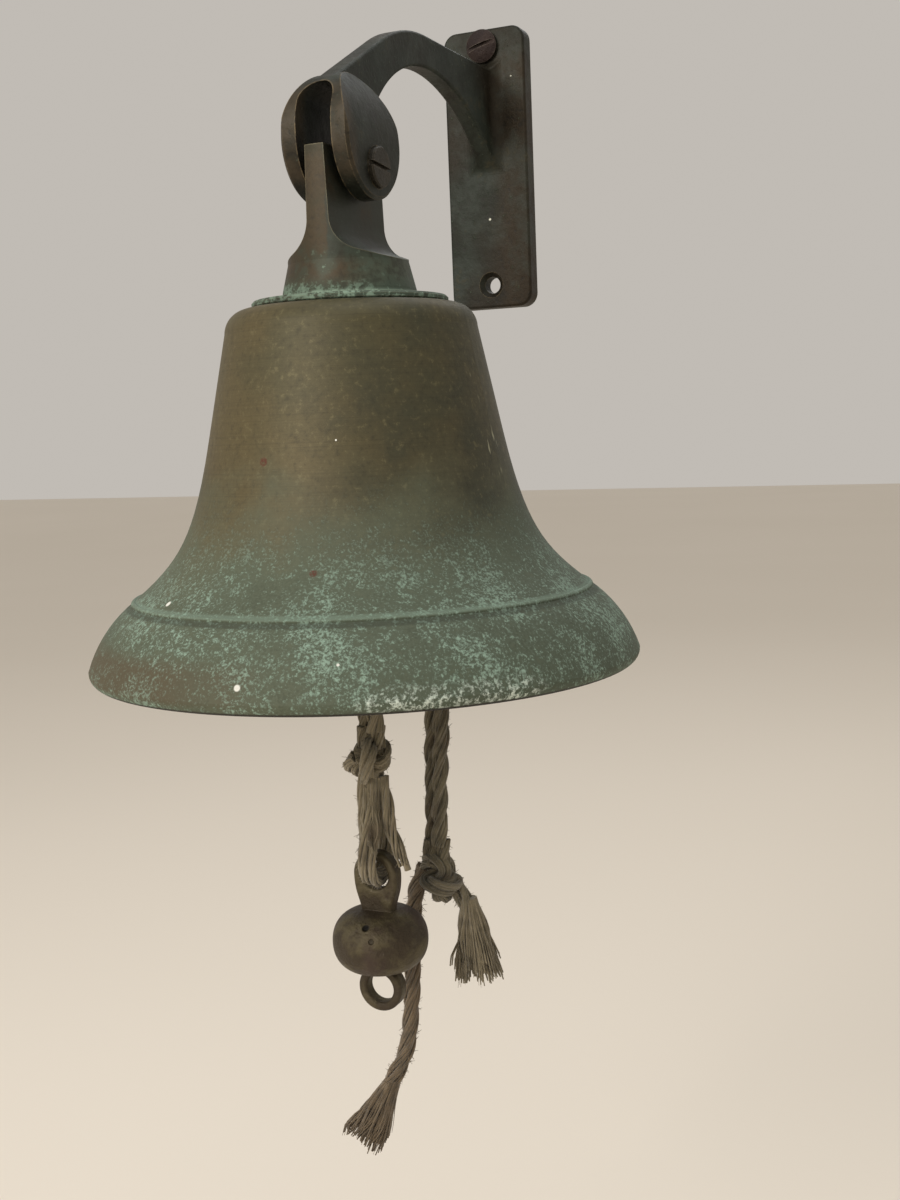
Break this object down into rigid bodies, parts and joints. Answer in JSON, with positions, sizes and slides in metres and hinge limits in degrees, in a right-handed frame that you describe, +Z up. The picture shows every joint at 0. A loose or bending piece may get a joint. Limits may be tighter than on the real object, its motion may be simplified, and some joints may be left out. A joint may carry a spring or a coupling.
{
  "type": "ship bell",
  "caption": "Small flared bell hung from a forked wall bracket by a screw hinge, with a roped ball clapper below its mouth and a knotted, frayed hand rope.",
  "frame": {"origin": "centre of the wall plate's back face", "axes": "+Y into the wall, +Z up, +X to the right as seen facing the wall; the bell hangs towards -Y"},
  "size_m": [0.152, 0.209, 0.3505],
  "materials": {
    "bracket_bronze": "weathered bronze, dull brown-olive with green",
    "screw_steel": "rusted dark brown",
    "pivot_screw_steel": "dark tarnish",
    "bell_bronze": "aged bronze with green verdigris towards the lip",
    "hanger_bronze": "aged bronze, verdigris at the foot",
    "washer_brass": "dull",
    "nut_brass": "dull",
    "staple_iron": "dark, lightly rusted",
    "clapper_iron": "dark brown, pitted casting",
    "rope": "weathered natural fibre",
    "tassel_fibre": "frayed natural fibre"
  },
  "bodies": {
    "bracket": {"wall_bracket": "bracket_bronze", "wall_screw": "screw_steel", "pivot_screw": "pivot_screw_steel"},
    "bell": {"bell_shell": "bell_bronze", "crown_hanger": "hanger_bronze", "crown_washer": "washer_brass", "crown_nut": "nut_brass", "clapper_staple": "staple_iron"},
    "clapper_hitch": {"clapper_hitch": "rope"},
    "clapper_line": {"clapper_line_fall": "rope", "clapper_line_knot": "rope", "clapper_line_loop": "rope", "clapper_line_tail": "rope"},
    "clapper": {"clapper": "clapper_iron"},
    "lanyard_hitch": {"lanyard_hitch": "rope"},
    "lanyard": {"lanyard_fall": "rope", "lanyard_knot": "rope", "lanyard_end": "rope", "lanyard_end_tassel": "tassel_fibre", "lanyard_tail": "rope", "lanyard_tail_tassel": "tassel_fibre"}
  },
  "joints": [
    {"name": "bell_swing", "type": "hinge", "parent": "bracket", "child": "bell", "pos_m": [0, -0.107, -0.0145], "axis": [1, 0, 0], "range_deg": [-75, 13]},
    {"name": "clapper_line_turn", "type": "hinge", "parent": "bell", "child": "clapper_hitch", "pos_m": [0, -0.107, -0.0767], "axis": [0.309, 0.9511, 0], "range_deg": [-28, 28]},
    {"name": "clapper_line_swing", "type": "hinge", "parent": "clapper_hitch", "child": "clapper_line", "pos_m": [0, -0.107, -0.0889], "axis": [0.9511, -0.309, 0], "range_deg": [-28, 1.5]},
    {"name": "clapper_swing", "type": "hinge", "parent": "clapper_line", "child": "clapper", "pos_m": [0, -0.107, -0.2043], "axis": [1, 0, 0], "range_deg": [-45, 3]},
    {"name": "lanyard_turn", "type": "hinge", "parent": "bell", "child": "lanyard_hitch", "pos_m": [0.00698, -0.08551, -0.0767], "axis": [0.309, 0.9511, 0], "range_deg": [-20, 20]},
    {"name": "lanyard_swing", "type": "hinge", "parent": "lanyard_hitch", "child": "lanyard", "pos_m": [0.00698, -0.08551, -0.0889], "axis": [0.9511, -0.309, 0], "range_deg": [-1, 15]}
  ]
}
